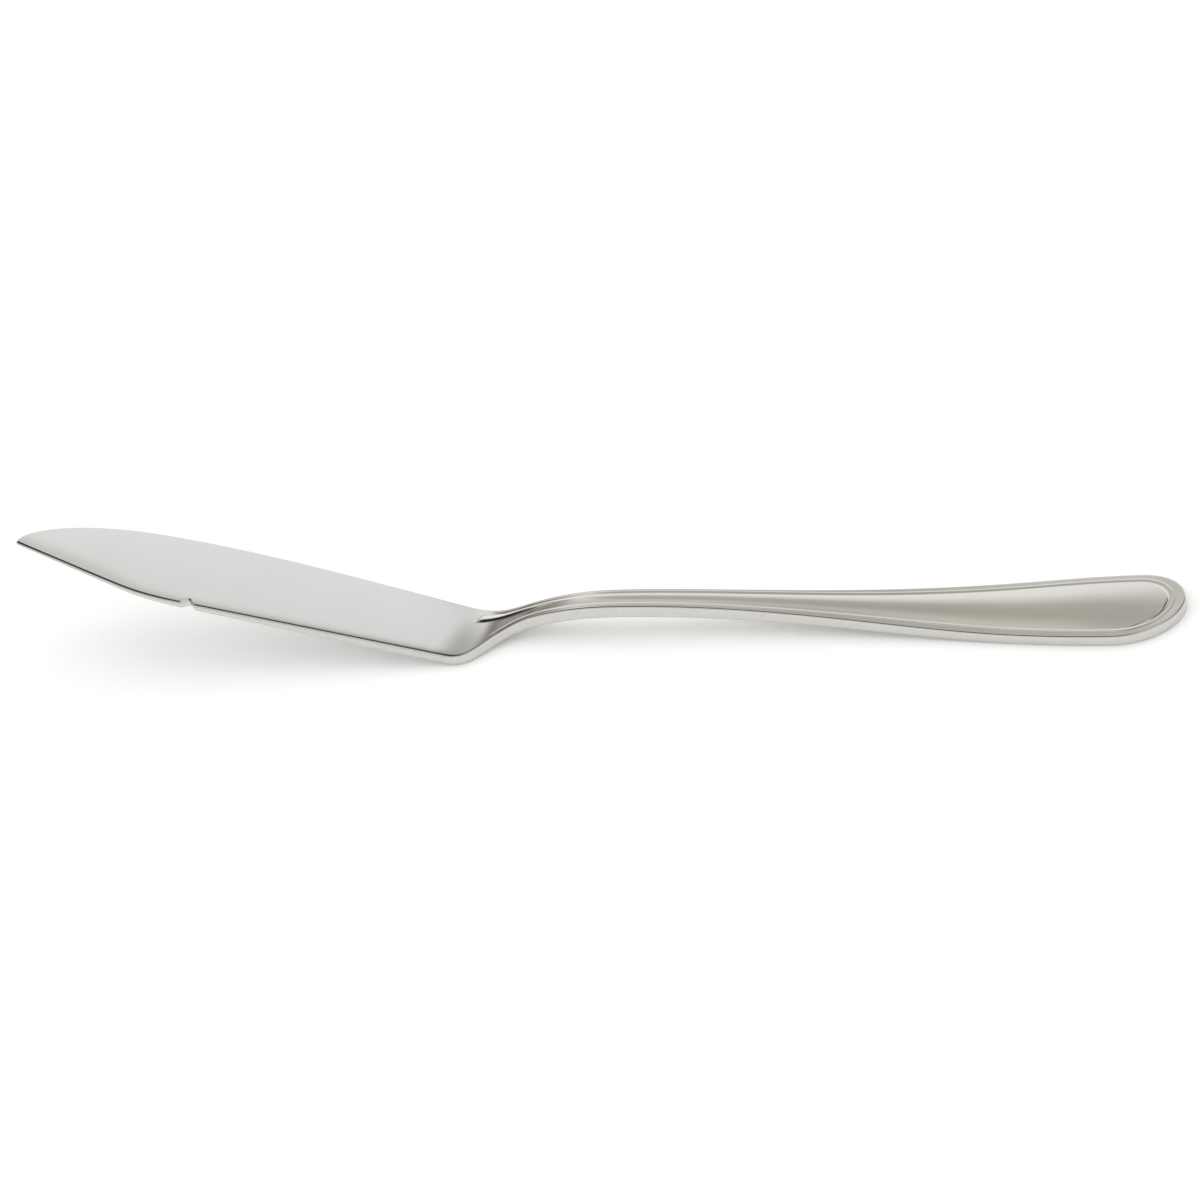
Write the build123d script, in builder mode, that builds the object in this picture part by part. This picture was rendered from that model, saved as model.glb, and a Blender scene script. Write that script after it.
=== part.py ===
from build123d import *
import os
from math import asin, atan2, cos, degrees, hypot, radians, sin, sqrt, tan

os.makedirs("parts", exist_ok=True)

# A fish knife stamped from one sheet of stainless steel, lying as it rests on a table.
# X runs along the knife with the butt at +X, Y across it, and Z up from the table.
# The knife touches the table with the bend at its heel and with the flat under its butt.

# Overall sizes in millimetres
overall_length = 207.0
blade_reach = 85.7
heel_thickness = 1.85
neck_thickness = 2.2
edge_rounding = 0.4

# Blade: heights and thickness
blade_tilt = 12.0
tip_thickness = 0.9

# Blade outline from above, as distances from the tip and offsets from the centre line
tip_offset = 1.65
tip_radius = 0.5
spine_peak_from_tip = 22.6
spine_peak_offset = 10.8
spine_shoulder_from_tip = 46.8
spine_shoulder_offset = 9.25
spine_foot_from_tip = 73.7
spine_foot_offset = 5.4
edge_bend_from_tip = 27.6
edge_bend_offset = 7.8
edge_bend_radius = 45.0
heel_offset = 11.0
heel_radius = 4.5
heel_slant = 53.0
throat_radius = 8.0

# Notch in the lower edge of the blade
notch_from_tip = 36.0
notch_width = 2.4
notch_depth = 1.0

# Bend at the heel and arch of the neck
crank_radius = 14.0
arch_clearance = 3.6
arch_reach = 23.5
root_from_heel = 12.0
neck_width = 5.7
neck_length = 18.0

# Handle
butt_width = 18.6
butt_thickness = 1.75
butt_flat_length = 24.3
flare_power = 1.45
underside_chamfer = 0.4

# Rim, raised bead line and crowned panel on the upper side
rim_chamfer = 0.45
neck_bead_inset = 1.05
butt_bead_inset = 1.85
bead_width = 0.8
bead_height = 0.24
neck_crown = 0.2
butt_crown = 0.8

# Two ridges that climb the bend from the blade to the beads of the neck
ridge_width = 0.4
near_ridge_start = (0.9, -6.9)
far_ridge_start = (0.5, 2.5)

# Fold pressed up in the middle of the bend, as distances from the heel and offsets
fold_start = (-1.2, -0.1)
fold_crest = (3.7, 1.1)
fold_end = (11.5, 0.5)
fold_width = 0.8
fold_height = 0.3

# Stations along the knife
tip_x = -overall_length / 2
butt_x = overall_length / 2
heel_x = tip_x + blade_reach
root_x = heel_x + root_from_heel
handle_x = root_x + neck_length
butt_center_x = butt_x - butt_width / 2
flat_x = butt_x - butt_flat_length
neck_half = neck_width / 2
butt_half = butt_width / 2

# The bend turns about one axis above the heel, and each side of the neck's arch is tangent to it
peak_x = heel_x + arch_reach
peak_height = arch_clearance + neck_thickness
bend_height = crank_radius + heel_thickness
lower_arch_center = bend_height - (arch_reach**2 - arch_clearance**2) / (2 * arch_clearance)
lower_arch_radius = arch_clearance - lower_arch_center
upper_sum = crank_radius + peak_height
upper_arch_center = (upper_sum**2 - bend_height**2 - arch_reach**2) / (2 * (upper_sum - bend_height))
upper_arch_radius = peak_height - upper_arch_center
lower_turn = degrees(atan2(arch_reach, bend_height - lower_arch_center))
upper_turn = degrees(atan2(arch_reach, bend_height - upper_arch_center))


def blend(share):
    # Smooth step from 0 to 1 that is level at both ends
    share = min(max(share, 0.0), 1.0)
    return share * share * (3 - 2 * share)


def arch_share(x):
    return blend((x - peak_x) / (flat_x - peak_x))


def underside(x):
    if x < peak_x:
        return lower_arch_center + sqrt(lower_arch_radius**2 - (peak_x - x) ** 2)
    return arch_clearance * (1 - arch_share(x))


def rim_top(x):
    if x < peak_x:
        return upper_arch_center + sqrt(upper_arch_radius**2 - (peak_x - x) ** 2)
    return underside(x) + neck_thickness + (butt_thickness - neck_thickness) * arch_share(x)


def flare(x):
    # Share of the way from the neck's width to the butt's width
    reach = max((x - peak_x) / (butt_center_x - peak_x), 0.0)
    return blend(reach**flare_power)


def half_width(x):
    return neck_half + (butt_half - neck_half) * flare(x)


def panel_top(x):
    # Height of the crowned panel on the centre line
    return rim_top(x) + neck_crown + (butt_crown - neck_crown) * flare(x)


def bead_inset(x):
    # Distance from the edge to the crest of the bead
    return neck_bead_inset + (butt_bead_inset - neck_bead_inset) * flare(x)


def half_section(x):
    # Upright half section: underside, wall, rim with broken edges, bead and crowned panel
    side = half_width(x)
    low = underside(x)
    high = rim_top(x)
    bead_crest = side - bead_inset(x)
    bead_inside = bead_crest - bead_width / 2
    Polyline(
        (0, low),
        (side - underside_chamfer, low),
        (side, low + underside_chamfer),
        (side, high - rim_chamfer),
        (side - rim_chamfer, high),
        (bead_crest + bead_width / 2, high),
        (bead_crest, high + bead_height),
        (bead_inside, high),
    )
    TangentArc((0, panel_top(x)), (bead_inside, high), tangent=(1, 0))


# Blade: the outline from above, cut to the bent side view
tilt = radians(blade_tilt)
heel_y = -heel_offset
throat_x = heel_x + (heel_offset - neck_half) / tan(radians(heel_slant))
spine_peak = (tip_x + spine_peak_from_tip, spine_peak_offset)
spine_shoulder = (tip_x + spine_shoulder_from_tip, spine_shoulder_offset)
spine_foot = (tip_x + spine_foot_from_tip, spine_foot_offset)

# Upper and lower lines of the blade in the side view, each tangent to the bend
upper_tangent = (heel_x - crank_radius * sin(tilt), bend_height - crank_radius * cos(tilt))
upper_tip = (tip_x, upper_tangent[1] + (upper_tangent[0] - tip_x) * tan(tilt))
lower_tip = (tip_x, upper_tip[1] - tip_thickness / cos(tilt))
lower_run = hypot(heel_x - tip_x, bend_height - lower_tip[1])
lower_aim = atan2(bend_height - lower_tip[1], heel_x - tip_x)
lower_tilt = -degrees(lower_aim - asin(bend_height / lower_run))
upper_root_angle = degrees(asin((peak_x - root_x) / upper_arch_radius))
lower_root_angle = degrees(asin((peak_x - root_x) / lower_arch_radius))
lower_tangent = (
    heel_x - bend_height * sin(radians(lower_tilt)),
    bend_height - bend_height * cos(radians(lower_tilt)),
)

with BuildPart() as blade:
    with BuildSketch(Plane.XY) as blade_outline:
        with BuildLine():
            Spline(
                (root_x, neck_half),
                spine_foot,
                spine_shoulder,
                spine_peak,
                tangents=[(-1, 0), (-1, 0)],
            )
            EllipticalCenterArc(
                (spine_peak[0], tip_offset),
                spine_peak_from_tip,
                spine_peak_offset - tip_offset,
                start_angle=90,
                arc_size=90,
            )
            FilletPolyline(
                (tip_x, tip_offset),
                (tip_x + edge_bend_from_tip, -edge_bend_offset),
                (heel_x, heel_y),
                (throat_x, -neck_half),
                (root_x, -neck_half),
                radius=[edge_bend_radius, heel_radius, throat_radius],
            )
            Line((root_x, -neck_half), (root_x, neck_half))
        make_face()
        fillet(blade_outline.vertices().sort_by(Axis.X)[0], radius=tip_radius)
    extrude(amount=upper_tip[1] + neck_thickness)
    with BuildSketch(Plane.XZ):
        with BuildLine():
            Line(upper_tip, upper_tangent)
            CenterArc(
                (heel_x, bend_height), crank_radius, 270 - blade_tilt, blade_tilt + upper_turn
            )
            CenterArc(
                (peak_x, upper_arch_center),
                upper_arch_radius,
                90 + upper_turn,
                upper_root_angle - upper_turn,
            )
            Line((root_x, rim_top(root_x)), (root_x, underside(root_x)))
            CenterArc(
                (peak_x, lower_arch_center),
                lower_arch_radius,
                90 + lower_root_angle,
                lower_turn - lower_root_angle,
            )
            CenterArc(
                (heel_x, bend_height), bend_height, 270 - lower_tilt, lower_tilt + lower_turn
            )
            Line(lower_tangent, lower_tip)
            Line(lower_tip, upper_tip)
        make_face()
    extrude(amount=heel_offset + spine_peak_offset, both=True, mode=Mode.INTERSECT)
    outline_edges = blade.edges().filter_by(Axis.Y, reverse=True).filter_by(Axis.Z, reverse=True)
    fillet(outline_edges, radius=edge_rounding)

# Each ridge starts as a point on the blade and meets a bead of the neck
ridge_offset = neck_half - neck_bead_inset
ridge_lines = [(near_ridge_start, -ridge_offset), (far_ridge_start, ridge_offset)]
with BuildPart() as root_ridges:
    with BuildSketch(Plane.XY):
        for start, offset in ridge_lines:
            start_point = (heel_x + start[0], start[1])
            with BuildLine():
                for side in (-ridge_width / 2, ridge_width / 2):
                    Spline(
                        start_point,
                        (root_x, offset + side),
                        tangents=[(root_x - start_point[0], offset - start_point[1]), (1, 0)],
                    )
                Line((root_x, offset - ridge_width / 2), (root_x, offset + ridge_width / 2))
            make_face()
    extrude(amount=upper_tip[1])
    add(blade.part.moved(Location((0, 0, bead_height))), mode=Mode.INTERSECT)

# The fold is pointed at both ends and widest at its crest
with BuildPart() as heel_fold:
    with BuildSketch(Plane.XY):
        with BuildLine():
            for side in (-fold_width / 2, fold_width / 2):
                Spline(
                    (heel_x + fold_start[0], fold_start[1]),
                    (heel_x + fold_crest[0], fold_crest[1] + side),
                    (heel_x + fold_end[0], fold_end[1]),
                )
        make_face()
    extrude(amount=upper_tip[1])
    add(blade.part.moved(Location((0, 0, fold_height))), mode=Mode.INTERSECT)

edge_slope = (heel_offset - edge_bend_offset) / (blade_reach - edge_bend_from_tip)
notch_x = tip_x + notch_from_tip
notch_edge = -edge_bend_offset - edge_slope * (notch_from_tip - edge_bend_from_tip)
with BuildPart() as notch:
    with BuildSketch(Plane.XY):
        with BuildLine():
            Polyline(
                (notch_x - notch_width, notch_edge - notch_depth),
                (notch_x, notch_edge + notch_depth),
                (notch_x + notch_width, notch_edge - notch_depth),
                close=True,
            )
        make_face()
    extrude(amount=upper_tip[1] + neck_thickness)

with BuildPart() as blade_finished:
    add(blade.part)
    add(root_ridges.part)
    add(heel_fold.part)
    add(notch.part, mode=Mode.SUBTRACT)
blade_finished.part.label = "blade"
export_step(blade_finished.part, "parts/blade.step")

# Neck: upright sections from the blade's root to the start of the handle
neck_stations = [root_x, (root_x + peak_x) / 2, peak_x, handle_x]
with BuildPart() as neck:
    for station in neck_stations:
        with BuildSketch(Plane.YZ.offset(station)):
            with BuildLine():
                half_section(station)
                mirror(about=Plane.YZ)
            make_face()
    loft()
neck.part.label = "neck"
export_step(neck.part, "parts/neck.step")

# Handle: upright sections along the arch and the flat, then half a turn about the butt's centre
arch_steps = 7
flat_steps = 2
arch_pitch = (flat_x - handle_x) / arch_steps
flat_pitch = (butt_center_x - flat_x) / flat_steps
arch_stations = [handle_x + arch_pitch * step for step in range(arch_steps + 1)]
flat_stations = [flat_x + flat_pitch * step for step in range(flat_steps + 1)]
with BuildPart() as handle:
    for stations in (arch_stations, flat_stations):
        for station in stations:
            with BuildSketch(Plane.YZ.offset(station)):
                with BuildLine():
                    half_section(station)
                    mirror(about=Plane.YZ)
                make_face()
        loft()
    with BuildSketch(Plane.YZ.offset(butt_center_x)):
        with BuildLine():
            half_section(butt_center_x)
            Line((0, underside(butt_center_x)), (0, panel_top(butt_center_x)))
        make_face()
    revolve(axis=Axis((butt_center_x, 0, 0), (0, 0, 1)), revolution_arc=-180)
handle.part.label = "handle"
export_step(handle.part, "parts/handle.step")
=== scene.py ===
import bpy
import numpy as np
from mathutils import Matrix, Vector


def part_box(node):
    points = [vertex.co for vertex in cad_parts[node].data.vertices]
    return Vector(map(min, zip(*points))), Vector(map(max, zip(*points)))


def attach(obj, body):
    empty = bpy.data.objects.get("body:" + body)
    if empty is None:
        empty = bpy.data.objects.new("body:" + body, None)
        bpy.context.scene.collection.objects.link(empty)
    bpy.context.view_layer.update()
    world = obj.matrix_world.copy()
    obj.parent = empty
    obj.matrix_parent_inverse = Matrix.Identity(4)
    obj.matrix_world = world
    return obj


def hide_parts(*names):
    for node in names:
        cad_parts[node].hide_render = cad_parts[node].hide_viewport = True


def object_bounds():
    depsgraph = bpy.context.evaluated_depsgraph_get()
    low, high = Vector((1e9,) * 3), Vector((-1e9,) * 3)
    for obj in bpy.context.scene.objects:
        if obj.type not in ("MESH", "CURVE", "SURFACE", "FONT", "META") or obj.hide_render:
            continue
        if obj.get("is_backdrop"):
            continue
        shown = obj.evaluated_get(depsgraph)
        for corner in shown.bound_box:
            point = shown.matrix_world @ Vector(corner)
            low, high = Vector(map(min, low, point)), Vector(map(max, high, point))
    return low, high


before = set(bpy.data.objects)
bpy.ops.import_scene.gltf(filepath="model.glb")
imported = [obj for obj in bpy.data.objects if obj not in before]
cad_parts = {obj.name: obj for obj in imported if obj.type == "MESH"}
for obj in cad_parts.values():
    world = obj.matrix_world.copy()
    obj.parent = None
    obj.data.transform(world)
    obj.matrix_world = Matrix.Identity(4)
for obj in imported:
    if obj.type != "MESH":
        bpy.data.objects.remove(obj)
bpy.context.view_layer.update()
print("frame loaded:", ", ".join(sorted(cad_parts)))

mm = 0.001  # every size below is in millimetres until the meshes are written

# Side view of the stamped strip: where it bends and how thick it is
stripSet = {
    "halfLength": 103.5,
    "bladeReach": 85.7,    # tip to the middle of the bend
    "heelStock": 1.85,
    "neckStock": 2.2,
    "tipStock": 0.9,
    "bladeTilt": 12.0,     # degrees
    "bendRadius": 14.0,    # upper side of the bend
    "archReach": 23.5,     # middle of the bend to the top of the arch
    "archClearance": 3.6,  # room under the top of the arch
    "buttStock": 1.75,
    "buttFlat": 24.3,
    "easing": 2.0,         # spread of the softening where one curve runs into the next
    "easingSteps": 100,    # samples to each side that the softening takes in
    "sample": 0.04,        # step along the strip
    "spare": 8.5,          # sampled past both ends, so that the softening has neighbours there
}

tipX = -stripSet["halfLength"]
buttX = stripSet["halfLength"]
heelX = tipX + stripSet["bladeReach"]
flatX = buttX - stripSet["buttFlat"]
peakX = heelX + stripSet["archReach"]
bendHeight = stripSet["bendRadius"] + stripSet["heelStock"]  # height of the bend's centre

# The pieces start where the solids do
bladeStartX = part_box("blade")[0].x / mm
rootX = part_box("neck")[0].x / mm
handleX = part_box("handle")[0].x / mm


def smoothStep(share):
    # 0 to 1, level at both ends
    share = np.clip(share, 0.0, 1.0)
    return share * share * (3 - 2 * share)


def softRamp(share):
    # 0 to 1, half way between a straight ramp and one that is level at both ends
    return 0.5 * (np.clip(share, 0.0, 1.0) + smoothStep(share))


def softMax(a, b, blend):
    # The larger of two lines, with the corner between them rounded
    return np.maximum(a, b) + 0.25 * blend * np.clip(1 - np.abs(a - b) / blend, 0.0, 1.0) ** 2


def bentLine(x, bendRadius, peakHeight, tilt):
    # A straight tilted run, a circle round the bend and a larger circle over the neck, all tangent
    archReach = stripSet["archReach"]
    whole = bendRadius + peakHeight
    archMid = (whole**2 - bendHeight**2 - archReach**2) / (2 * (whole - bendHeight))
    archRadius = peakHeight - archMid
    turnIn = heelX - bendRadius * np.sin(tilt)
    turnOut = heelX + bendRadius * archReach / (bendRadius + archRadius)
    inside = 0.999  # keeps the roots real further out, where the circles aren't used
    run = bendHeight - bendRadius * np.cos(tilt) + (turnIn - x) * np.tan(tilt)
    fromHeel = np.clip(x - heelX, -inside * bendRadius, inside * bendRadius)
    bend = bendHeight - np.sqrt(bendRadius**2 - fromHeel**2)
    fromPeak = np.clip(x - peakX, -inside * archRadius, inside * archRadius)
    arch = archMid + np.sqrt(archRadius**2 - fromPeak**2)
    return np.where(x < turnIn, run, np.where(x < turnOut, bend, arch))


def stripLines():
    # Upper and lower line of the strip, sampled finely and softened with a bell-shaped average,
    # so that the polished face has no sudden change of curve
    step, steps = stripSet["sample"], stripSet["easingSteps"]
    x = np.arange(tipX - stripSet["spare"], buttX + stripSet["spare"], step)
    tilt = np.radians(stripSet["bladeTilt"])
    clearance = stripSet["archClearance"]
    peakTop = clearance + stripSet["neckStock"]
    tipTop = bentLine(np.array([tipX]), stripSet["bendRadius"], peakTop, tilt)[0]
    tipLow = tipTop - stripSet["tipStock"] / np.cos(tilt)
    aim = np.arctan2(bendHeight - tipLow, heelX - tipX)
    reach = np.hypot(heelX - tipX, bendHeight - tipLow)
    lowTilt = np.arcsin(bendHeight / reach) - aim
    top = bentLine(x, stripSet["bendRadius"], peakTop, tilt)
    low = bentLine(x, bendHeight, clearance, lowTilt)
    share = smoothStep((x - peakX) / (flatX - peakX))
    thinning = stripSet["buttStock"] - stripSet["neckStock"]
    handleLow = clearance * (1 - share)
    handleTop = handleLow + stripSet["neckStock"] + thinning * share
    top = np.where(x < peakX, top, handleTop)
    low = np.where(x < peakX, low, handleLow)
    bell = np.exp(-0.5 * (np.arange(-steps, steps + 1) * step / stripSet["easing"]) ** 2)
    bell /= bell.sum()
    keep = slice(steps, -steps)
    topSoft = np.convolve(top, bell, "same")
    lowSoft = np.convolve(low, bell, "same")
    return x[keep], topSoft[keep], np.maximum(lowSoft[keep], 0.0)


lineX, lineTop, lineLow = stripLines()

# Plan view of the blade, in distances from the tip and offsets from the centre line
bladeSet = {
    "tipOffset": 1.65,
    "tipRound": 0.5,
    "spine": [(22.6, 10.8), (46.8, 9.25), (73.7, 5.4)],
    "edgeBend": (27.6, -7.8),
    "edgeBendRound": 45.0,
    "heelOffset": -10.99,
    "heelRound": 4.5,
    "heelSlant": 53.0,           # degrees
    "throatRound": 8.0,
    "notchAt": 36.0,
    "notchHalf": 1.25,
    "notchDepth": 1.05,
    "notchSoft": 0.16,           # roundness of the notch's bottom, as a share of its half width
    "edgeRound": (0.46, 0.34),   # width and height of the edge's rounding
    "edgeSharp": 0.7,            # 0 is a round edge, 1 a flat bevel
    "lowRound": 0.35,
    "faceCrown": 0.10,           # the face is very slightly domed
    "faceCrownRun": 16.0,        # from the tip to where the dome is full
    "faceEnd": (4.0, 5.0),       # how far before the heel dome and roll fade, how long that takes
    "tipFall": 0.26,             # the face rolls down to the lower edge, most of all near the tip
    "tipFallReach": 4.2,
    "tipFallRun": (14.0, 20.0),  # how far from the tip this starts to ease off, how long that takes
    "heelFall": 0.16,
    "heelFallReach": 2.2,
}

# Neck and handle: the rim, the raised bead line inside it and the crowned panel
handleSet = {
    "neckWidth": 5.7,
    "buttWidth": 18.6,
    "flarePower": 1.45,             # above 1 the handle widens late
    "neckRound": (0.36, 0.32),      # width and height of the edge's rounding
    "neckRoundRun": (2.0, 1.0),     # where this starts past the heel, its run beyond heel to root
    "rimRound": (0.32, 0.30),
    "rimRoundRun": (8.0, 26.0),     # where this takes over, how long that takes
    "roundMost": 0.22,              # widest that a rounding may be, as a share of the knife's width
    "lowFall": 0.42,
    "beadInset": (1.0, 1.85),       # edge to the bead's crest: neck, wide part
    "beadInsetRun": (20.0, 55.0),   # where it starts to grow, how long that takes
    "beadInsetButt": 2.1,
    "beadHalf": 0.50,
    "beadMost": 0.08,               # most of this half width, as a share of the knife's width
    "beadClear": 1.15,              # least room from crest to rounding, in half widths of the bead
    "beadBlend": (0.4, 0.07),       # softening where that moves the bead: most, share of the width
    "beadHeight": 0.075,
    "beadGrow": 2.0,                # length over which a bead grows out of the blade
    "beadBend": (0.05, 4.0, 12.0),  # height on the bend, how far past the heel, how long it grows
    "beadFar": 0.55,                # height of the far bead as a share of the near one
    "beadCrest": 0.7,               # share of its width that rises, before it falls to the rim
    "beadButtHeight": 0.05,
    "nearBeadStart": (1.9, -5.9),   # from the heel
    "nearBeadLean": 7.1,            # how far across it would run if it kept its first direction
    "nearBeadShare": 0.28,          # share of the blade's width at which its rows run on to the tip
    "farBeadStart": (0.5, 2.5),
    "farBeadLean": -0.5,
    "farBeadShare": 0.90,
    "beadRunIn": (9.0, 8.0),        # how far before a bead its rows turn to it, how long that takes
    "neckCrown": 0.20,
    "buttCrown": 0.8,
    "crownStart": (8.0, 9.0),       # how far past the heel the crown starts, how long it grows
    "crownButt": (0.5, 12.0),       # share of it left at the end, how far back it starts to sink
    "crownEnd": 40.0,               # power of the panel's fall at the butt: high is late and steep
    "rimDish": 0.12,                # rise of the rim towards its edge at the butt's end
}

neckHalf = handleSet["neckWidth"] / 2
buttHalf = handleSet["buttWidth"] / 2
buttMidX = buttX - buttHalf


def splineLevel(knotX, knotY, x):
    # Cubic spline through the knots with no bend left at the joints, level at both ends
    h = np.diff(knotX)
    rise = np.diff(knotY) / h
    count = len(knotX)
    left = np.eye(count)
    right = np.zeros(count)
    for i in range(1, count - 1):
        left[i, i - 1 : i + 2] = 1 / h[i - 1], 2 / h[i - 1] + 2 / h[i], 1 / h[i]
        right[i] = 3 * (rise[i - 1] / h[i - 1] + rise[i] / h[i])
    slope = np.linalg.solve(left, right)
    k = np.clip(np.searchsorted(knotX, x) - 1, 0, count - 2)
    t = np.clip((x - knotX[k]) / h[k], 0.0, 1.0)
    a = slope[k] * h[k] - (knotY[k + 1] - knotY[k])
    b = -slope[k + 1] * h[k] + (knotY[k + 1] - knotY[k])
    return (1 - t) * knotY[k] + t * knotY[k + 1] + t * (1 - t) * (a * (1 - t) + b * t)


def roundedPath(points, rounds, arcPoints=90):
    # Straight runs between the points, with a circle laid tangent into each inner corner
    path = [np.array(points[0], float)[None]]
    for before, corner, after, r in zip(points, points[1:], points[2:], rounds):
        corner = np.array(corner, float)
        u = np.array(before, float) - corner
        v = np.array(after, float) - corner
        u /= np.linalg.norm(u)
        v /= np.linalg.norm(v)
        half = 0.5 * np.arccos(np.clip(u @ v, -1, 1))
        mid = (u + v) / np.linalg.norm(u + v) * r / np.sin(half) + corner
        start = corner + u * r / np.tan(half) - mid
        end = corner + v * r / np.tan(half) - mid
        turn = np.arctan2(start[0] * end[1] - start[1] * end[0], start @ end)
        angle = np.arctan2(start[1], start[0]) + np.linspace(0, turn, arcPoints)
        path.append(mid + r * np.stack([np.cos(angle), np.sin(angle)], 1))
    path.append(np.array(points[-1], float)[None])
    return np.concatenate(path)


throatRun = (-neckHalf - bladeSet["heelOffset"]) / np.tan(np.radians(bladeSet["heelSlant"]))
edgeBend = (tipX + bladeSet["edgeBend"][0], bladeSet["edgeBend"][1])
tipSlope = (edgeBend[1] - bladeSet["tipOffset"]) / bladeSet["edgeBend"][0]
tipCorner = (bladeStartX, bladeSet["tipOffset"] + tipSlope * (bladeStartX - tipX))
aboveTip = (bladeStartX, 4.0)  # only gives the tip's rounding its direction
nearPath = roundedPath(
    [aboveTip, tipCorner, edgeBend, (heelX, bladeSet["heelOffset"]),
     (heelX + throatRun, -neckHalf), (rootX, -neckHalf)],
    [bladeSet[key] for key in ("tipRound", "edgeBendRound", "heelRound", "throatRound")],
)[1:]


def handleFlare(x):
    # Share of the way from the neck's width to the butt's
    reach = np.clip((x - peakX) / (buttMidX - peakX), 0.0, 1.0)
    return smoothStep(reach ** handleSet["flarePower"])


def halfWidth(x):
    return neckHalf + (buttHalf - neckHalf) * handleFlare(x)


def plainEdge(x):
    # Lower edge of the blade without its notch, then the handle's side
    return np.where(x < rootX, np.interp(x, nearPath[:, 0], nearPath[:, 1]), -halfWidth(x))


def nearEdge(x):
    # The notch is a V with a rounded bottom
    away = np.abs(x - tipX - bladeSet["notchAt"]) / bladeSet["notchHalf"]
    soft = bladeSet["notchSoft"]
    vee = (np.sqrt(away**2 + soft**2) - soft) / (np.sqrt(1 + soft**2) - soft)
    return plainEdge(x) + bladeSet["notchDepth"] * np.clip(1 - vee, 0.0, 1.0)


def farEdge(x):
    # Spine of the blade: a quarter ellipse from tip to widest point, then a spline to the neck
    tip, peak = bladeSet["tipOffset"], bladeSet["spine"][0]
    knotX = np.array([tipX + s[0] for s in bladeSet["spine"]] + [rootX])
    knotY = np.array([s[1] for s in bladeSet["spine"]] + [neckHalf])
    spine = splineLevel(knotX, knotY, x)
    share = np.clip((tipX + peak[0] - x) / peak[0], 0.0, 1.0)
    nose = tip + (peak[1] - tip) * np.sqrt(1 - share**2)
    return np.where(x < knotX[0], nose, np.where(x < rootX, spine, halfWidth(x)))


def edgeStretch(edge, x):
    # How much longer a step straight across is than a step square to the edge
    step, least = 0.01, 2e-5  # the second keeps the slope finite at the tip
    ahead = np.maximum(x + step, bladeStartX + least)
    behind = np.maximum(x - step, bladeStartX)
    return np.sqrt(1 + ((edge(ahead) - edge(behind)) / (ahead - behind)) ** 2)


# Grid over the whole knife: half rows from the middle of the panel out to the edge, at each station
gridSet = {
    "row": {"panel": 40, "bead": 14, "rim": 6, "round": 9},  # points
    "panelCrowd": 1.3,      # above 1 crowds the panel's points towards the bead
    "wall": 4,              # points down a wall
    "tipGap": 0.0004,       # end of the blade to the first station
    "nose": (14.0, 46),     # length of the first run and its stations
    "notch": (34.4, 37.6),  # from the tip
    "bendLead": 7.0,        # how far before the heel the bend's stations start
    "steps": (34, 40, 44, 96, 54, 150),  # to the notch, notch, to the bend, bend, neck, handle
    "butt": 80,             # steps round the butt
}


def rowShares():
    # Each point of the half row as a mix of five knots: middle, the bead's inner and outer foot,
    # start of the rounding, edge. The bead ramps up to its crest and down again.
    shares, beadRise, crownShape = [], [], []
    crest = handleSet["beadCrest"]
    for knot, (part, count) in enumerate(gridSet["row"].items()):
        t = np.linspace(0, 1, count + 1)
        if part == "panel":
            t = 1 - (1 - t) ** gridSet["panelCrowd"]
        t = np.sin(t * np.pi / 2) if part == "round" else t[:-1]
        block = np.zeros((len(t), 5))
        block[:, knot] = 1 - t
        block[:, knot + 1] = t
        shares.append(block)
        hump = softRamp(t / crest) - softRamp((t - crest) / (1 - crest))
        beadRise.append(hump if part == "bead" else 0 * t)
        crownShape.append(1 - t**2 if part == "panel" else 0 * t)
    return [np.concatenate(part) for part in (shares, beadRise, crownShape)]


shares, beadRise, crownShape = rowShares()
halfCount = len(shares)
wallCount = gridSet["wall"]


def stationList():
    # Close together at the tip, where the outline turns fastest, then even runs
    noseRun, nosePoints = gridSet["nose"]
    notchStart, notchEnd = (tipX + reach for reach in gridSet["notch"])
    bendStart = heelX - gridSet["bendLead"]
    ends = [bladeStartX + noseRun, notchStart, notchEnd, bendStart, rootX, handleX, buttMidX]
    nose = bladeStartX + gridSet["tipGap"] + noseRun * np.linspace(0, 1, nosePoints) ** 2
    nose[-1] = ends[0]
    runs = [np.linspace(a, b, n + 1)[1:] for a, b, n in zip(ends, ends[1:], gridSet["steps"])]
    return np.concatenate([nose, *runs])


def beadInset(x):
    # Distance of the bead from the edge grows from the neck to the wide part of the handle
    neck, wide = handleSet["beadInset"]
    begin, run = handleSet["beadInsetRun"]
    return neck + (wide - neck) * smoothStep((x - begin) / run)


def beadLine(x, name, side, edgeNear, edgeFar):
    # A run beside the edge, a curve down to its start at the heel,
    # and before that a fixed share of the blade's width
    start, lean, share = (handleSet[name + key] for key in ("BeadStart", "BeadLean", "BeadShare"))
    lead, turnRun = handleSet["beadRunIn"]
    startX = heelX + start[0]
    level = side * (halfWidth(x) - beadInset(x))
    endY = side * (neckHalf - beadInset(rootX))
    run = rootX - startX
    t = np.clip((x - startX) / run, 0.0, 1.0)
    curve = (
        (2 * t**3 - 3 * t**2 + 1) * start[1]
        + (t**3 - 2 * t**2 + t) * lean
        + (3 * t**2 - 2 * t**3) * endY
    )
    curve = np.where(x < startX, start[1] + (x - startX) * lean / run, curve)
    spread = edgeNear + share * (edgeFar - edgeNear)
    mix = smoothStep((x - (startX - lead)) / turnRun)
    return np.where(x < rootX, spread + (curve - spread) * mix, level)


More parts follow.
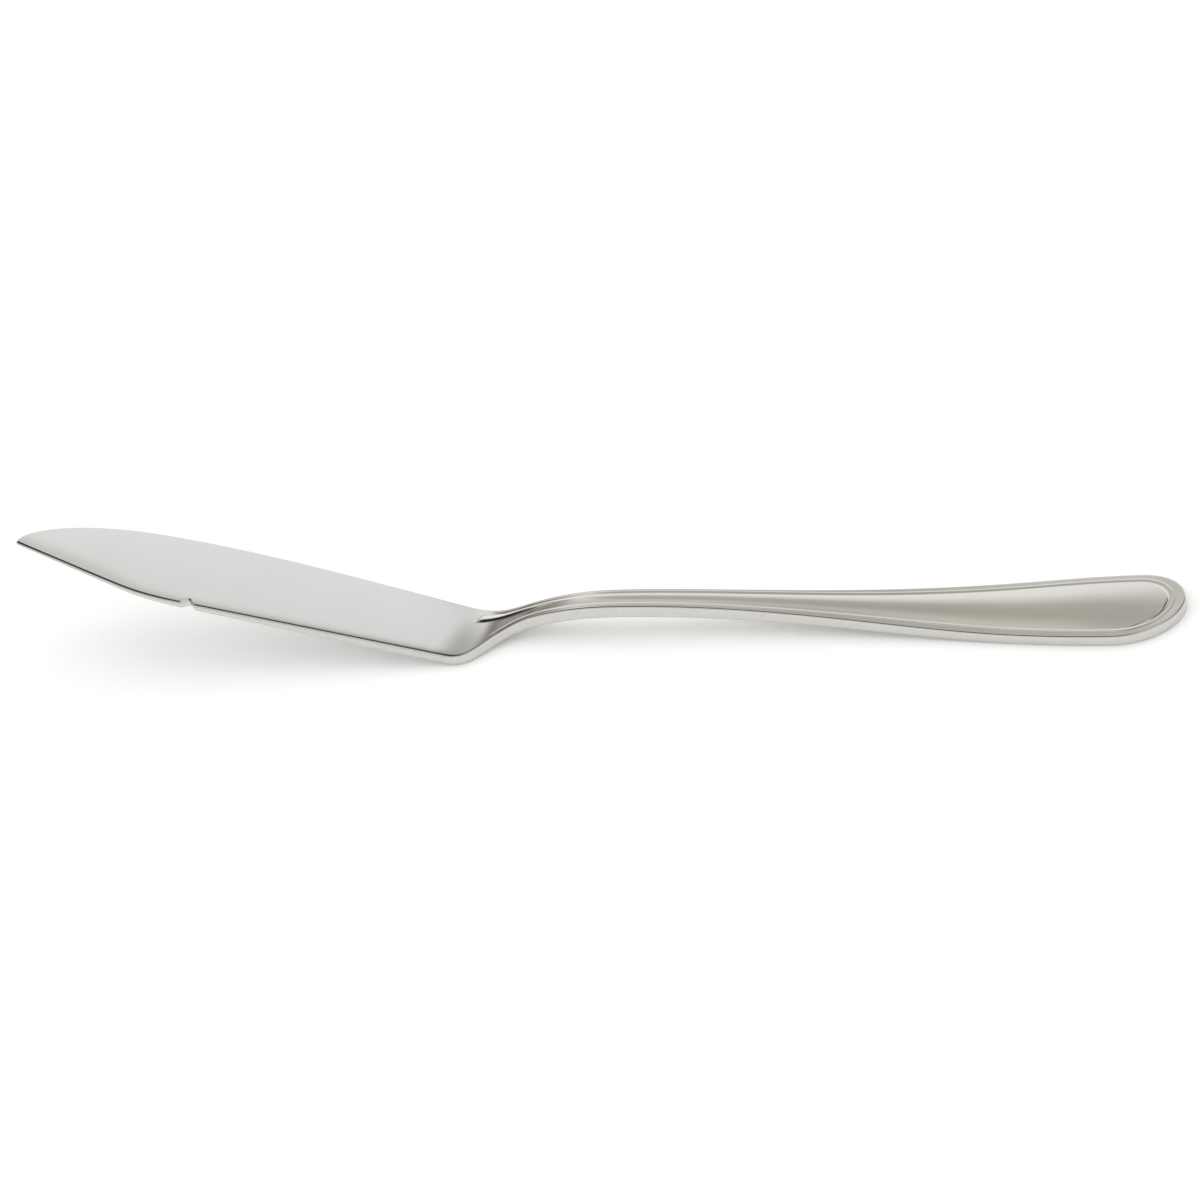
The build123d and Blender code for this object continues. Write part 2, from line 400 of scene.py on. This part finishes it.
def panelEnd():
    # Half axes of the panel's rounded end
    long = buttHalf - handleSet["beadInsetButt"] - handleSet["beadHalf"]
    wide = buttHalf - handleSet["beadInset"][1] - handleSet["beadHalf"]
    return long, wide


def crownSink(x):
    # The panel sinks a little towards the butt
    left, run = handleSet["crownButt"]
    return 1 - (1 - left) * smoothStep((x - buttMidX + run) / (run + panelEnd()[0]))


def roundFall(depth, reach, power=2.0):
    # Quarter of an ellipse, or nearer to a flat bevel with a lower power:
    # 1 at the edge, 0 at the reach and further in
    t = 1 - np.clip(depth / reach, 0.0, 1.0)
    return 1 - np.clip(1 - t**power, 0.0, 1.0) ** (1 / power)


# Fold pressed up in the middle of the bend
foldSet = {
    "start": -1.8,              # from the heel
    "rise": 1.8,                # length over which it grows
    "fade": (4.0, 18.0),        # how far past the heel it starts to sink, how long that takes
    "height": 0.34,
    "steep": 0.52,              # width of the side towards the heel
    "gentle": 0.6,              # least width of the other side, which runs down to the far bead
    "line": (0.05, 0.60, 2.0),  # offset that it settles at, how far below it starts, how slowly
}


def foldRise(fromHeel, y, footY):
    # A steep ramp up to the crest less a gentle ramp down to the foot,
    # times its growth and its sinking along the knife
    settle, drop, pace = foldSet["line"]
    begin, run = foldSet["fade"]
    foldY = settle - drop * np.exp(-np.maximum(fromHeel - foldSet["start"], 0.0) / pace)
    crestY = foldY + 0.5 * foldSet["steep"]
    fold = softRamp((y - foldY) / foldSet["steep"] + 0.5)
    fold -= softRamp((y - crestY) / np.maximum(footY - crestY, foldSet["gentle"]))
    fold *= smoothStep((fromHeel - foldSet["start"]) / foldSet["rise"])
    fold *= 1 - smoothStep((fromHeel - begin) / run)
    return foldSet["height"] * fold


def knifeSheets():
    # Upper and lower sheet of the whole knife over one grid of stations and row points.
    # Upper height = strip line + slight dome - roll to the lower edge + bead + fold + crowned panel
    # - rounding at the edge. Lower height = strip line + rounding.
    x = stationList()
    top = np.interp(x, lineX, lineTop)
    low = np.interp(x, lineX, lineLow)
    edgeN, edgeF, plainN = nearEdge(x), farEdge(x), plainEdge(x)
    width = edgeF - plainN
    stretchN, stretchF = edgeStretch(nearEdge, x), edgeStretch(farEdge, x)

    begin, longer = handleSet["neckRoundRun"]
    onHandle = smoothStep((x - heelX - begin) / (rootX - heelX + longer))
    begin, run = handleSet["rimRoundRun"]
    onRim = smoothStep((x - begin) / run)
    rounds = zip(bladeSet["edgeRound"], handleSet["neckRound"], handleSet["rimRound"])
    reach, fall = (
        flat + (neck - flat) * onHandle + (rim - neck) * onRim for flat, neck, rim in rounds
    )
    lowFall = bladeSet["lowRound"] + (handleSet["lowFall"] - bladeSet["lowRound"]) * onHandle
    lateralN = np.minimum(reach * stretchN, handleSet["roundMost"] * width)
    lateralF = np.minimum(reach * stretchF, handleSet["roundMost"] * width)

    # Both beads stay clear of the edge's rounding
    half = np.minimum(handleSet["beadHalf"], handleSet["beadMost"] * width)
    clear = handleSet["beadClear"] * half
    blend = np.minimum(handleSet["beadBlend"][0], handleSet["beadBlend"][1] * width)
    beadN = softMax(beadLine(x, "near", -1, plainN, edgeF), edgeN + lateralN + clear, blend)
    beadF = -softMax(-beadLine(x, "far", 1, plainN, edgeF), lateralF + clear - edgeF, blend)

    onBend, stay, run = handleSet["beadBend"]
    tall = onBend + (handleSet["beadHeight"] - onBend) * smoothStep((x - heelX - stay) / run)
    rows, parts = [], []
    for side, edge, bead, lateral, start, share in (
        (-1, edgeN, beadN, lateralN, handleSet["nearBeadStart"], 1.0),
        (1, edgeF, beadF, lateralF, handleSet["farBeadStart"], handleSet["beadFar"]),
    ):
        inner, outer = bead - side * half, bead + side * half
        knots = np.stack([0.5 * (beadN + beadF), inner, outer, edge - side * lateral, edge], 1)
        rows.append(knots @ shares.T)
        rise = share * tall * smoothStep((x - (heelX + start[0])) / handleSet["beadGrow"])
        parts.append(rise[:, None] * beadRise)
    y = np.concatenate([rows[0][:, ::-1], rows[1][:, 1:]], 1)
    bead = np.concatenate([parts[0][:, ::-1], parts[1][:, 1:]], 1)
    crownRow = np.concatenate([crownShape[::-1], crownShape[1:]])

    begin, run = handleSet["crownStart"]
    neckCrown = handleSet["neckCrown"]
    crown = neckCrown + (handleSet["buttCrown"] - neckCrown) * handleFlare(x)
    crown = crown * smoothStep((x - heelX - begin) / run) * crownSink(x)
    fold = foldRise((x - heelX)[:, None], y, (beadF - half)[:, None])

    begin, run = bladeSet["faceEnd"]
    onBlade = (1 - smoothStep((x - heelX + begin) / run))[:, None]
    across = (2 * y - plainN[:, None] - edgeF[:, None]) / width[:, None]
    offTip = smoothStep((x - tipX) / bladeSet["faceCrownRun"])[:, None]
    dome = bladeSet["faceCrown"] * (1 - across**2) * onBlade * offTip
    begin, run = bladeSet["tipFallRun"]
    nearTip = (1 - smoothStep((x - tipX - begin) / run))[:, None]
    rollReach, rollFall = (
        bladeSet["heel" + key] + (bladeSet["tip" + key] - bladeSet["heel" + key]) * nearTip
        for key in ("FallReach", "Fall")
    )
    inward = (y - plainN[:, None]) / edgeStretch(plainEdge, x)[:, None]
    roll = rollFall * onBlade * (1 - np.clip(inward / rollReach, 0.0, 1.0)) ** 3

    depthN = (y - edgeN[:, None]) / stretchN[:, None]
    depthF = (edgeF[:, None] - y) / stretchF[:, None]
    depth = np.minimum(depthN, depthF)
    power = np.where(depthN < depthF, 2 - bladeSet["edgeSharp"] * onBlade, 2.0)
    zTop = top[:, None] + dome - roll + bead + fold + crown[:, None] * crownRow
    zTop -= fall[:, None] * roundFall(depth, reach[:, None], power)
    zLow = low[:, None] + lowFall[:, None] * roundFall(depth, reach[:, None])
    return np.repeat(x[:, None], y.shape[1], 1), y, zTop, zLow


def buttSheets():
    # Round end of the handle: half rows fanned about the butt's middle from near to far side.
    # The bead runs round in ovals, and the panel falls as a square across the handle
    # and late and steeply towards the end.
    angle = np.linspace(-90, 90, gridSet["butt"] + 1)[1:-1]
    c, s = np.cos(np.radians(angle)), np.sin(np.radians(angle))
    long, wide = panelEnd()
    beadWide = 2 * handleSet["beadHalf"]
    reach, fall = handleSet["rimRound"]

    def oval(a, b):
        return a * b / np.sqrt((b * c) ** 2 + (a * s) ** 2)

    rim = np.full(len(angle), buttHalf)
    inner, outer = oval(long, wide), oval(long + beadWide, wide + beadWide)
    r = np.stack([0 * rim, inner, outer, rim - reach, rim], 1) @ shares.T
    x = buttMidX + r * c[:, None]
    y = r * s[:, None]
    top = np.interp(x, lineX, lineTop)
    low = np.interp(x, lineX, lineLow)
    t = np.minimum(r / inner[:, None], 1.0)
    sideways = (inner * s / wide)[:, None] ** 2
    panel = 1 - sideways * t**2 - (1 - sideways) * t ** handleSet["crownEnd"]
    crown = handleSet["buttCrown"] * crownSink(x) * panel
    onRim = np.clip((r - outer[:, None]) / (rim - outer)[:, None], 0.0, 1.0)
    dish = handleSet["rimDish"] * c[:, None] ** 2 * onRim
    sideTall = handleSet["beadHeight"] * np.where(s < 0, 1.0, handleSet["beadFar"])
    beadTall = sideTall + (handleSet["beadButtHeight"] - sideTall) * c**2
    edge = roundFall(buttHalf - r, reach)
    zTop = top + crown + beadTall[:, None] * beadRise + dish - fall * edge
    zLow = low + handleSet["lowFall"] * edge
    return x, y, zTop, zLow


def ringPoints(x, y, zTop, zLow, first, last):
    # Closed ring of a station: upper row, wall, lower row back, wall
    t = np.arange(1, wallCount + 1) / (wallCount + 1)

    def wall(j, down):
        share = t if down else 1 - t
        z = zTop[:, j, None] + (zLow[:, j, None] - zTop[:, j, None]) * share
        return np.stack([np.repeat(x[:, j, None], wallCount, 1),
                         np.repeat(y[:, j, None], wallCount, 1), z], -1)

    upper = np.stack([x, y, zTop], -1)
    lower = np.stack([x, y, zLow], -1)[:, ::-1]
    parts = [upper, wall(last, True), lower]
    if first is not None:
        parts.append(wall(first, False))
    return np.concatenate(parts, 1)


gridX, gridY, gridTop, gridLow = knifeSheets()
stationCount, rowCount = gridX.shape
middle = rowCount // 2
rings = ringPoints(gridX, gridY, gridTop, gridLow, 0, rowCount - 1)
ringSize = rings.shape[1]
fans = ringPoints(*buttSheets(), None, halfCount - 1)[:, 1:-1]  # without the two poles
points = np.concatenate([rings.reshape(-1, 3), fans.reshape(-1, 3)])
print("surface points:", len(points))

ids = np.arange(stationCount * ringSize).reshape(stationCount, ringSize)
closed = np.concatenate([ids, ids[:, :1]], 1)
mainQuads = np.stack([closed[:-1, :-1], closed[1:, :-1], closed[1:, 1:], closed[:-1, 1:]], -1)

# Fan rows of the butt share the last ring's halves and its two middle points
last = ids[-1]
lowerStart = rowCount + wallCount
topMid, lowMid = last[middle], last[lowerStart + middle]
nearHalf = np.concatenate([last[:middle][::-1], last[lowerStart + rowCount :][::-1],
                           last[lowerStart + middle + 1 : lowerStart + rowCount][::-1]])
farHalf = last[middle + 1 : lowerStart + middle]
fanIds = stationCount * ringSize + np.arange(fans.shape[0] * fans.shape[1]).reshape(fans.shape[:2])
fanRows = np.concatenate([nearHalf[None], fanIds, farHalf[None]])
fanQuads = np.stack([fanRows[:-1, :-1], fanRows[:-1, 1:], fanRows[1:, 1:], fanRows[1:, :-1]], -1)
topTris = np.stack([np.full(len(fanRows) - 1, topMid), fanRows[:-1, 0], fanRows[1:, 0]], -1)
lowTris = np.stack([np.full(len(fanRows) - 1, lowMid), fanRows[1:, -1], fanRows[:-1, -1]], -1)


def faceNormals(faces):
    # Half the cross product of the diagonals, or of two sides of a triangle
    p = points[faces]
    if faces.shape[-1] == 4:
        return 0.5 * np.cross(p[..., 2, :] - p[..., 0, :], p[..., 3, :] - p[..., 1, :])
    return 0.5 * np.cross(p[..., 1, :] - p[..., 0, :], p[..., 2, :] - p[..., 0, :])


allFaces = [mainQuads.reshape(-1, 4), fanQuads.reshape(-1, 4), topTris, lowTris]
normals = np.zeros_like(points)
for faces in allFaces:
    areaNormal = faceNormals(faces)
    for corner in range(faces.shape[1]):
        np.add.at(normals, faces[:, corner], areaNormal)
normals /= np.linalg.norm(normals, axis=1, keepdims=True)
volume = sum((faceNormals(faces) * points[faces].mean(1)).sum() for faces in allFaces) / 3
print("normals ready, volume mm3:", round(volume, 1))

wallTurn = (0.75, 0.5)  # upright part of the normal below which a face counts as wall, and the fade


def addObject(name, data):
    thing = bpy.data.objects.new(name, data)
    bpy.context.scene.collection.objects.link(thing)
    return thing


def pieceMesh(name, quads, tris, caps):
    # One formed zone of the strip: its share of the grid, closed by flat faces where it was cut.
    # Each corner keeps the normal of the whole knife's surface, so that no cut shows in the polish.
    faces = quads.tolist() + tris.tolist() + [list(cap) for cap, _ in caps]
    cornerNormals = np.concatenate(
        [normals[quads.ravel()], normals[tris.ravel()]]
        + [np.tile(direction, (len(cap), 1)) for cap, direction in caps]
    )
    used = np.unique(np.concatenate([quads.ravel(), tris.ravel()]))
    renumber = np.full(len(points), -1)
    renumber[used] = np.arange(len(used))
    faces = [[int(renumber[v]) for v in face] for face in faces]
    mesh = bpy.data.meshes.new(name)
    mesh.from_pydata((points[used] * mm).tolist(), [], faces)
    mesh.polygons.foreach_set("use_smooth", np.ones(len(faces), bool))
    mesh.normals_split_custom_set(cornerNormals.tolist())
    upright = np.abs(normals[used, 2])
    cutEdge = mesh.attributes.new("cutEdge", "FLOAT", "POINT")  # 1 on the blanked walls, else 0
    cutEdge.data.foreach_set("value", smoothStep((wallTurn[0] - upright) / wallTurn[1]))
    mesh.validate()
    print(name, "faces:", len(faces))
    return addObject(name, mesh)


stationX = gridX[:, 0]
rootRow = int(np.argmin(np.abs(stationX - rootX)))
handleRow = int(np.argmin(np.abs(stationX - handleX)))
noTris = np.zeros((0, 3), int)
back, ahead = np.array([-1.0, 0, 0]), np.array([1.0, 0, 0])
bladePiece = pieceMesh(
    "blade_steel_face", mainQuads[:rootRow].reshape(-1, 4), noTris,
    [(ids[0], back), (ids[rootRow][::-1], ahead)],
)
neckPiece = pieceMesh(
    "neck_steel_bar", mainQuads[rootRow:handleRow].reshape(-1, 4), noTris,
    [(ids[rootRow], back), (ids[handleRow][::-1], ahead)],
)
handlePiece = pieceMesh(
    "handle_steel_rim",
    np.concatenate([mainQuads[handleRow:].reshape(-1, 4), fanQuads.reshape(-1, 4)]),
    np.concatenate([topTris, lowTris]),
    [(ids[handleRow], back)],
)


def linear(hexColour):
    # sRGB hex to the linear values that the shader takes
    part = np.array([int(hexColour[i : i + 2], 16) / 255 for i in (1, 3, 5)])
    value = np.where(part <= 0.04045, part / 12.92, ((part + 0.055) / 1.055) ** 2.4)
    return (*value.tolist(), 1.0)


def addNode(tree, kind, settings=None, inputs=None, links=None):
    node = tree.nodes.new(kind)
    for key, value in (settings or {}).items():
        setattr(node, key, value)
    for key, value in (inputs or {}).items():
        node.inputs[key].default_value = value
    for key, (source, socket) in (links or {}).items():
        tree.links.new(source.outputs[socket], node.inputs[key])
    return node


def emptyMaterial(name):
    material = bpy.data.materials.new(name)
    material.use_nodes = True
    material.node_tree.nodes.clear()
    return material, material.node_tree


# Painted light: one steel in two colours, the blade's painted lighter than the handle's so that it
# reads brighter
bladeSteel = {
    "name": "satin-polished stainless steel",
    "light": "#e4e4e4",
    "dark": "#dededd",
    "roughness": (0.15, 0.21),
    "grainRise": 1.0,
}
handleSteel = {
    "name": "mirror-polished stainless steel",
    "light": "#dddcd8",
    "dark": "#d6d4ce",
    "roughness": (0.08, 0.15),
    "grainRise": 0.5,
}
polishSet = {
    "grainAcross": 0.12,     # mm between polishing lines, drawn coarser than the real 0.02 to show
    "grainAlong": 11.0,      # mm that one line runs
    "grainHeight": 0.0012,   # mm
    "grainShare": 0.5,       # weight of the lines beside the patches
    "cloud": 9.0,            # mm across one patch of the polish
    "spread": (0.45, 1.05),  # range of lines and patches together that the roughness goes with
    "wallShadeLight": "#d9d7d3",  # blanked walls, tinted darker than the faces as painted shade
    "wallShadeDark": "#cac8c3",
    "edgeRoughness": 0.24,
    "edgeMottle": 0.8,       # mm across one spot of the walls' random mottle
    "change": (heelX - 4.0, rootX - 1.0),  # mm, where the blade's satin and its painted lighter colour become the handle's mirror
}


def steelMaterial(finish, into):
    # Bare steel, buffed along its length: a bright neutral mirror that is slightly broken up by the
    # lines of the buffing wheel and by patches that took the polish a little differently.
    # Blanked walls: rougher and mottled where the wheel never reached; their darker tint is painted
    # shade.
    material, tree = emptyMaterial(finish["name"])
    place = addNode(tree, "ShaderNodeTexCoord")
    along, across = 1 / (polishSet["grainAlong"] * mm), 1 / (polishSet["grainAcross"] * mm)
    lay = addNode(tree, "ShaderNodeMapping", inputs={"Scale": (along, across, across)},
                  links={"Vector": (place, "Object")})
    grain = addNode(tree, "ShaderNodeTexNoise",
                    inputs={"Scale": 1.0, "Detail": 3.0, "Roughness": 0.6},
                    links={"Vector": (lay, 0)})
    patches, spots = 1 / (polishSet["cloud"] * mm), 1 / (polishSet["edgeMottle"] * mm)
    cloud = addNode(tree, "ShaderNodeTexNoise",
                    inputs={"Scale": patches, "Detail": 2.0, "Roughness": 0.5},
                    links={"Vector": (place, "Object")})
    mottle = addNode(tree, "ShaderNodeTexNoise",
                     inputs={"Scale": spots, "Detail": 2.0, "Roughness": 0.6},
                     links={"Vector": (place, "Object")})
    edge = addNode(tree, "ShaderNodeAttribute", {"attribute_name": "cutEdge"})
    apart = addNode(tree, "ShaderNodeSeparateXYZ", links={"Vector": (place, "Object")})
    start, end = polishSet["change"]
    change = addNode(tree, "ShaderNodeMapRange", {"interpolation_type": "SMOOTHSTEP"},
                     {1: start * mm, 2: end * mm}, {0: (apart, "X")})

    def colourMix(share, socket, low, high):
        mix = addNode(tree, "ShaderNodeMix", {"data_type": "RGBA"}, links={0: (share, socket)})
        for index, colour in ((6, low), (7, high)):
            if isinstance(colour, str):
                mix.inputs[index].default_value = linear(colour)
            else:
                tree.links.new(colour.outputs[2], mix.inputs[index])
        return mix

    both = addNode(tree, "ShaderNodeMath", {"operation": "MULTIPLY_ADD"},
                   {1: polishSet["grainShare"]}, {0: (grain, 0), 2: (cloud, 0)})
    least, most = polishSet["spread"]
    tints, roughs = [], []
    for steel in (finish, into):
        tints.append(colourMix(cloud, 0, steel["dark"], steel["light"]))
        smooth, dull = steel["roughness"]
        roughs.append(addNode(tree, "ShaderNodeMapRange",
                              inputs={1: least, 2: most, 3: smooth, 4: dull}, links={0: (both, 0)}))
    # Painted light: along the knife the blade's lighter colour turns into the handle's
    tint = colourMix(change, 0, *tints)
    # Painted shade: the walls take a mottled tint darker than the faces, which dims their
    # reflection
    wallShadeTint = colourMix(mottle, 0, polishSet["wallShadeDark"], polishSet["wallShadeLight"])
    tint = colourMix(edge, "Fac", tint, wallShadeTint)
    rough = addNode(tree, "ShaderNodeMix",
                    links={0: (change, 0), 2: (roughs[0], 0), 3: (roughs[1], 0)})
    rough = addNode(tree, "ShaderNodeMix", inputs={3: polishSet["edgeRoughness"]},
                    links={0: (edge, "Fac"), 2: (rough, 0)})
    strength = addNode(tree, "ShaderNodeMapRange",
                       inputs={3: finish["grainRise"], 4: into["grainRise"]},
                       links={0: (change, 0)})
    bump = addNode(tree, "ShaderNodeBump", inputs={"Distance": polishSet["grainHeight"] * mm},
                   links={"Height": (grain, 0), "Strength": (strength, 0)})
    shader = addNode(tree, "ShaderNodeBsdfPrincipled", inputs={"Metallic": 1.0},
                     links={"Base Color": (tint, 2), "Roughness": (rough, 0), "Normal": (bump, 0)})
    addNode(tree, "ShaderNodeOutputMaterial", links={"Surface": (shader, 0)})
    return material


steelOfBlade = steelMaterial(bladeSteel, handleSteel)
steelOfHandle = steelMaterial(handleSteel, handleSteel)
for piece, node, slot, steel in (
    (bladePiece, "blade", "blade_steel", steelOfBlade),
    (neckPiece, "neck", "handle_steel", steelOfHandle),
    (handlePiece, "handle", "handle_steel", steelOfHandle),
):
    piece.data.materials.append(steel)
    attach(piece, "root")
    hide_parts(node)
print("steel on all pieces")

# Studio, in metres: a pale floor, an even white room, one soft lamp,
# and grey fields and nets that only the polish sees
studioSet = {
    "floorColour": "#f4f4f3",
    "floorHalf": 6.0,
    "floorDrop": 0.00002,  # just under the knife, so that no two faces share a plane
    "floorLift": 0.14,     # how much white the floor gains where camera or steel look at it
    "roomLight": 0.92,
    "lampPlace": (-0.25, 0.55, 1.0),
    "lampSize": 1.6,
    "lampPower": 2.2,
    # Degrees round from +Y, degrees up, radius of the even middle, radius where it has faded, grey
    "greyFields": [
        (-105, 63, 13, 26, "#333333"),
        (-150, 76, 8, 19, "#4a4a4a"),
        (-95, 42, 6, 14, "#444444"),
        (-64, 13, 22, 34, "#96928c"),
        (-52, 58, 17, 32, "#e2e0d9"),
        (-177, 57, 40, 66, "#dedede"),
        (-9, 64, 6, 16, "#aaa7a2"),
        (8, 44, 8, 30, "#f0f0f0"),
        (25, 28, 10, 24, "#7d7b77"),
        (62, 38, 14, 34, "#95938e"),
    ],
    # One net upright behind the handle and two level above the bend: along the knife from clear
    # to full to full to clear, how far back or up, and across from clear to darkest to clear
    "nets": [
        ("handle net", "Z", (-0.042, -0.028, 0.085, 0.120), 0.060,
         (0.016, 0.047, 0.108), "#c8c5bf"),
        ("bend net", "Y", (-0.0245, -0.0205, -0.016, -0.012), 0.006,
         (-0.020, -0.004, 0.012), "#b2afa9"),
        ("heel net", "Y", (-0.0445, -0.036, -0.031, -0.026), 0.012,
         (0.016, 0.024, 0.036), "#b4b1ab"),
    ],
}
white = (1.0, 1.0, 1.0, 1.0)


def seenRays(tree):
    # 1 for rays from the camera, from polish or through glass, 0 for light that falls on the knife
    path = addNode(tree, "ShaderNodeLightPath")
    seen = addNode(tree, "ShaderNodeMath", {"operation": "MAXIMUM"},
                   links={0: (path, "Is Camera Ray"), 1: (path, "Is Glossy Ray")})
    seen = addNode(tree, "ShaderNodeMath", {"operation": "MAXIMUM"},
                   links={0: (seen, 0), 1: (path, "Is Transmission Ray")})
    return path, seen


def floorMaterial():
    # Matt white paper: it takes the knife's soft shadow, and is white where nothing shades it
    material, tree = emptyMaterial("matt white paper")
    seen = seenRays(tree)[1]
    lift = addNode(tree, "ShaderNodeMath", {"operation": "MULTIPLY"}, {1: studioSet["floorLift"]},
                   {0: (seen, 0)})
    paper = addNode(tree, "ShaderNodeBsdfDiffuse",
                    inputs={"Color": linear(studioSet["floorColour"])})
    glow = addNode(tree, "ShaderNodeEmission", links={"Strength": (lift, 0)})
    both = addNode(tree, "ShaderNodeAddShader", links={0: (paper, 0), 1: (glow, 0)})
    addNode(tree, "ShaderNodeOutputMaterial", links={"Surface": (both, 0)})
    return material


def flatSheet(name, corners, material):
    # One face that belongs to the studio and not to the knife
    mesh = bpy.data.meshes.new(name)
    mesh.from_pydata(corners, [], [(0, 1, 2, 3)])
    sheet = addObject(name, mesh)
    sheet.data.materials.append(material)
    sheet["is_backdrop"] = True
    return sheet


half = studioSet["floorHalf"]
floorCorners = [(-half, -half, 0), (half, -half, 0), (half, half, 0), (-half, half, 0)]
floor = flatSheet("floor", floorCorners, floorMaterial())
floor.location.z = -studioSet["floorDrop"]


def netMaterial(name, acrossAxis, along, across, grey):
    # Fine grey net: it only dims what is seen through it, and thins out towards its edges
    material, tree = emptyMaterial(name)
    place = addNode(tree, "ShaderNodeTexCoord")
    apart = addNode(tree, "ShaderNodeSeparateXYZ", links={"Vector": (place, "Object")})
    edges = (("X", along[0], along[1]), ("X", along[3], along[2]),
             (acrossAxis, across[0], across[1]), (acrossAxis, across[2], across[1]))
    last = None
    for axis, clear, full in edges:
        fade = addNode(tree, "ShaderNodeMapRange", {"interpolation_type": "SMOOTHSTEP"},
                       {1: clear, 2: full}, {0: (apart, axis)})
        if last is not None:
            fade = addNode(tree, "ShaderNodeMath", {"operation": "MULTIPLY"},
                           links={0: (last, 0), 1: (fade, 0)})
        last = fade
    tint = addNode(tree, "ShaderNodeMix", {"data_type": "RGBA"}, {6: white, 7: linear(grey)},
                   {0: (last, 0)})
    gauze = addNode(tree, "ShaderNodeBsdfTransparent", links={"Color": (tint, 2)})
    addNode(tree, "ShaderNodeOutputMaterial", links={"Surface": (gauze, 0)})
    return material


for name, acrossAxis, along, away, across, grey in studioSet["nets"]:
    start, end, low, high = along[0], along[3], across[0], across[2]
    corners = [(start, low), (end, low), (end, high), (start, high)]
    corners = [(a, away, b) if acrossAxis == "Z" else (a, b, away) for a, b in corners]
    net = flatSheet(name, corners, netMaterial(name, acrossAxis, along, across, grey))
    net.visible_camera = net.visible_diffuse = net.visible_shadow = False


def roomColour(tree, path):
    # White, multiplied by each grey field with a soft edge, but only for rays that leave the steel
    place = addNode(tree, "ShaderNodeTexCoord")
    last = addNode(tree, "ShaderNodeMix", {"data_type": "RGBA"}, {0: 0.0, 6: white})
    for turn, rise, inner, outer, grey in studioSet["greyFields"]:
        around, up = np.radians(turn), np.radians(rise)
        heart = (np.sin(around) * np.cos(up), np.cos(around) * np.cos(up), np.sin(up))
        near = addNode(tree, "ShaderNodeVectorMath", {"operation": "DOT_PRODUCT"}, {1: heart},
                       {0: (place, "Generated")})
        field = addNode(tree, "ShaderNodeMapRange", {"interpolation_type": "SMOOTHSTEP"},
                        {1: np.cos(np.radians(outer)), 2: np.cos(np.radians(inner))},
                        {0: (near, "Value")})
        share = addNode(tree, "ShaderNodeMath", {"operation": "MULTIPLY"},
                        links={0: (field, 0), 1: (path, "Is Glossy Ray")})
        last = addNode(tree, "ShaderNodeMix", {"data_type": "RGBA", "blend_type": "MULTIPLY"},
                       {7: linear(grey)}, {0: (share, 0), 6: (last, 2)})
    return last


world = bpy.data.worlds.new("white room")
bpy.context.scene.world = world
world.use_nodes = True
sky = world.node_tree
sky.nodes.clear()
path, seen = seenRays(sky)
level = addNode(sky, "ShaderNodeMapRange", inputs={3: studioSet["roomLight"], 4: 1.0},
                links={0: (seen, 0)})
room = addNode(sky, "ShaderNodeBackground",
               links={"Color": (roomColour(sky, path), 2), "Strength": (level, 0)})
addNode(sky, "ShaderNodeOutputWorld", links={"Surface": (room, 0)})

lamp = bpy.data.lights.new("soft lamp", "AREA")
lamp.shape = "DISK"
lamp.size = studioSet["lampSize"]
lamp.energy = studioSet["lampPower"]
lampObject = addObject("soft lamp", lamp)
lampPlace = Vector(studioSet["lampPlace"])  # it shines at the origin
lampTurn = lampPlace.normalized().to_track_quat("Z", "Y").to_matrix().to_4x4()
lampObject.matrix_world = Matrix.Translation(lampPlace) @ lampTurn
lampObject.visible_camera = False
lampObject.visible_glossy = False

# Camera at the photograph's angle: turned round the knife, raised, and rolled
cameraSet = {
    "turn": 28.0,       # degrees
    "rise": 28.0,
    "roll": 15.658,
    "distance": 0.800,  # metres
    "focus": (0.00200, 0.00423, 0.00289),
    "lens": 145.15,     # mm, as the sensor's width is
    "sensor": 36.0,
    "clip": (0.01, 50.0),
}
turn, rise, roll = (np.radians(cameraSet[key]) for key in ("turn", "rise", "roll"))
backward = Vector((np.sin(turn) * np.cos(rise), -np.cos(turn) * np.cos(rise), np.sin(rise)))
right = Vector((np.cos(turn), np.sin(turn), 0))
upward = Vector((-np.sin(turn) * np.sin(rise), np.cos(turn) * np.sin(rise), np.cos(rise)))
rolledRight = np.cos(roll) * right - np.sin(roll) * upward
rolledUp = np.sin(roll) * right + np.cos(roll) * upward
lens = bpy.data.cameras.new("photo camera")
lens.lens = cameraSet["lens"]
lens.sensor_width = cameraSet["sensor"]
lens.clip_start, lens.clip_end = cameraSet["clip"]
camera = addObject("photo camera", lens)
spot = Vector(cameraSet["focus"]) + cameraSet["distance"] * backward
axes = Matrix((rolledRight, rolledUp, backward)).transposed().to_4x4()
camera.matrix_world = Matrix.Translation(spot) @ axes
bpy.context.scene.camera = camera
bpy.context.scene.view_settings.view_transform = "Standard"
print("studio and camera ready")

low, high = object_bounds()
